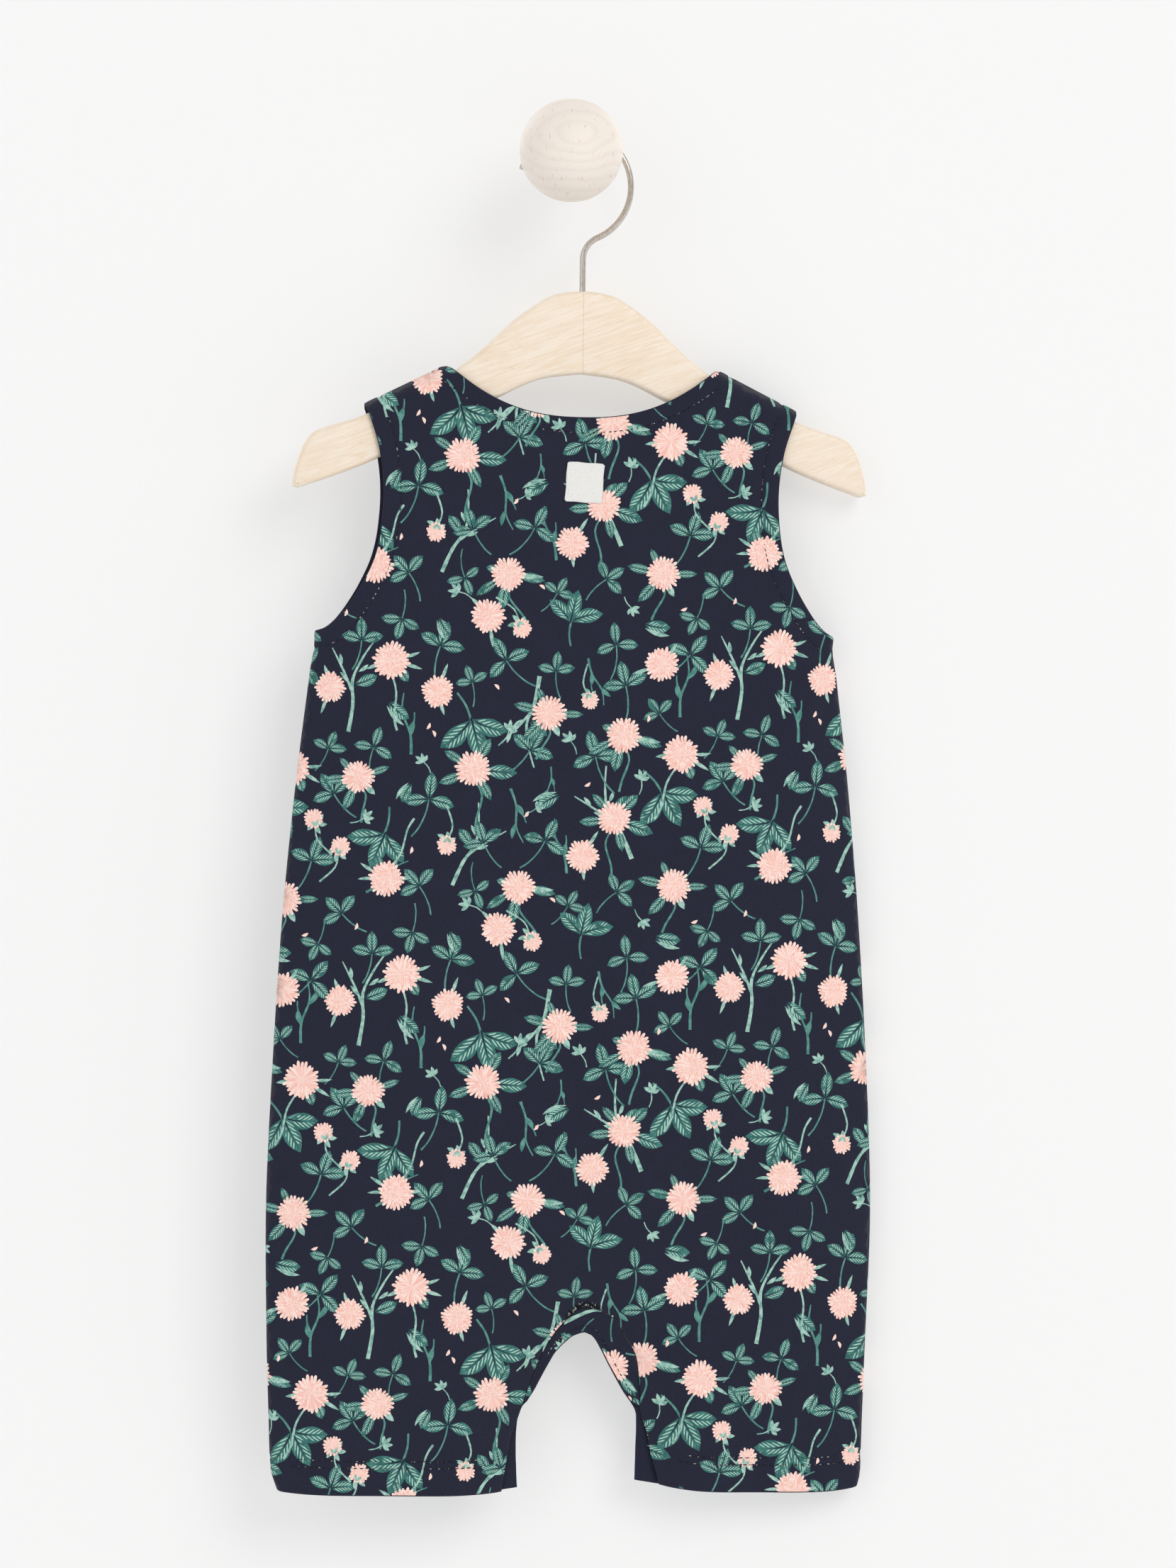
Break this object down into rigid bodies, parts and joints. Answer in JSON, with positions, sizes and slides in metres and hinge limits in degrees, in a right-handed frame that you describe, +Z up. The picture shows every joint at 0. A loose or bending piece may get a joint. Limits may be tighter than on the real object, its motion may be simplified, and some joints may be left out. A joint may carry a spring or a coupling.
{
  "type": "baby romper on a wooden hanger on a wall knob",
  "caption": "Sleeveless printed baby romper seen from the back, on a wooden hanger whose wire hook hangs from a round wall knob.",
  "frame": {"origin": "centre of the knob's flat foot, where it meets the wall", "axes": "+Z up, +Y into the wall, so the garment's back faces -Y; +X to the viewer's right"},
  "size_m": [0.2939, 0.083, 0.6763],
  "materials": {
    "cloth": "printed cotton jersey",
    "label": "bare woven label",
    "stud": "press-stud caps",
    "birch": "pale, satin",
    "wire": "brushed nickel",
    "beech": "whitened, matt"
  },
  "bodies": {
    "root": {"back_panel": "cloth", "front_panel": "cloth", "back_placket": "cloth", "front_placket": "cloth", "label": "label", "press_stud_1": "stud", "press_stud_2": "stud", "press_stud_3": "stud", "press_stud_4": "stud", "press_stud_5": "stud", "hanger_wood": "birch", "hook_wire": "wire", "wall_knob": "beech"}
  },
  "joints": []
}
